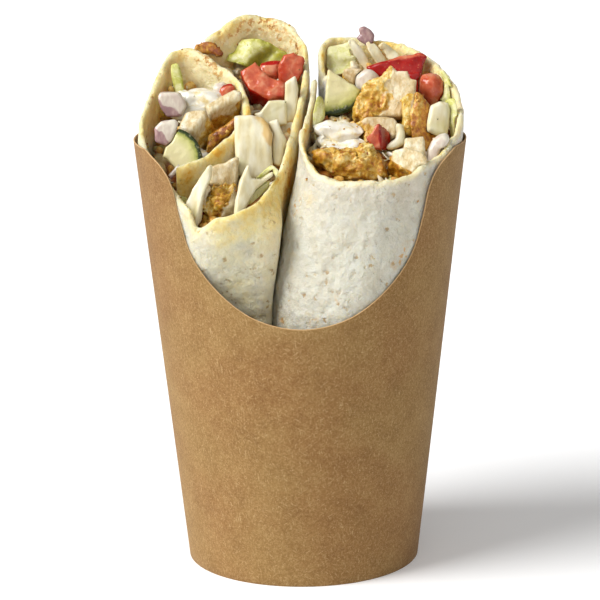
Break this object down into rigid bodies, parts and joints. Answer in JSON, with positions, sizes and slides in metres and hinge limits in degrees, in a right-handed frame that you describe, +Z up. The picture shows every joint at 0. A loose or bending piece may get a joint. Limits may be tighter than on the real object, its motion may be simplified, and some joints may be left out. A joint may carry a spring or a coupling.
{
  "type": "doner kebab wrap in paper cup",
  "caption": "Chicken doner kebab rolled in flatbread, cut on the slant, its halves standing side by side in a kraft paper scoop cup.",
  "frame": {"origin": "middle of the bounding box of the cup and food, on the surface the cup stands on", "axes": "+Z up, the scooped front of the cup and the cut faces of the wrap look along -Y, +X is to the viewer's right"},
  "size_m": [0.106, 0.1004, 0.1715],
  "materials": {
    "kraft_board": "uncoated brown kraft board, matt, with fine fibres",
    "flatbread": "pale floury flatbread, matt, with toasted specks",
    "packed_meat": "packed spiced chicken crumb, matt, moist",
    "chicken": "cut cooked chicken, satin",
    "chicken_crust": "browned spiced outside of the chicken, satin",
    "tomato": "wet cut tomato, glossy",
    "cucumber": "wet cucumber flesh with a dark green skin",
    "onion": "raw red onion, wet, white with violet skins",
    "lettuce": "pale green lettuce leaf, satin",
    "cabbage": "white cabbage strip, satin",
    "sauce": "white garlic yogurt sauce, glossy"
  },
  "bodies": {
    "root": {"cup_wall": "kraft_board", "cup_floor": "kraft_board", "right_tortilla": "flatbread", "left_tortilla": "flatbread", "right_chicken_end": "chicken", "right_chicken_cube": "chicken", "right_onion_white": "onion", "right_chicken_ridge": "chicken_crust", "right_chicken_front": "chicken_crust", "right_tomato_wedge": "tomato", "right_cabbage_curve": "cabbage", "right_sauce": "sauce", "right_chicken_curl": "chicken_crust", "right_chicken_chunk": "chicken", "right_cabbage_rib": "cabbage", "right_chicken_brown": "chicken_crust", "right_chicken_mid": "chicken", "right_cucumber": "cucumber", "right_onion_pale": "onion", "right_chicken_small": "chicken", "right_tomato_slab": "tomato", "right_tomato_dome": "tomato", "right_tomato_cheek": "tomato", "right_onion_purple": "onion", "right_lettuce_side": "lettuce", "right_lettuce_low": "lettuce", "right_lettuce_inner": "lettuce", "right_cabbage_back_a": "cabbage", "right_cabbage_back_b": "cabbage", "right_cabbage_back_c": "cabbage", "right_lettuce_back": "lettuce", "left_onion_purple": "onion", "left_onion_low": "onion", "left_onion_small": "onion", "left_chicken_strip_b": "chicken", "left_chicken_strip_a": "chicken", "left_cucumber": "cucumber", "left_onion_skin": "onion", "left_tomato_small": "tomato", "left_chicken_dark": "chicken_crust", "left_lettuce_edge": "lettuce", "left_sauce": "sauce", "left_cabbage_low": "cabbage", "left_cabbage_left": "cabbage", "left_leaf_low": "lettuce", "left_cabbage_rib": "cabbage", "left_cabbage_wavy": "cabbage", "left_cabbage_right": "cabbage", "left_cabbage_up": "cabbage", "left_tomato_curl": "tomato", "left_tomato_big": "tomato", "left_tomato_back": "tomato", "left_lettuce_back": "lettuce", "left_chicken_breast": "chicken", "left_chicken_crumb": "chicken_crust", "left_chicken_low": "chicken", "left_chicken_grilled": "chicken_crust", "right_filling": "packed_meat", "left_filling_inner": "packed_meat", "left_filling_outer": "packed_meat"}
  },
  "joints": []
}
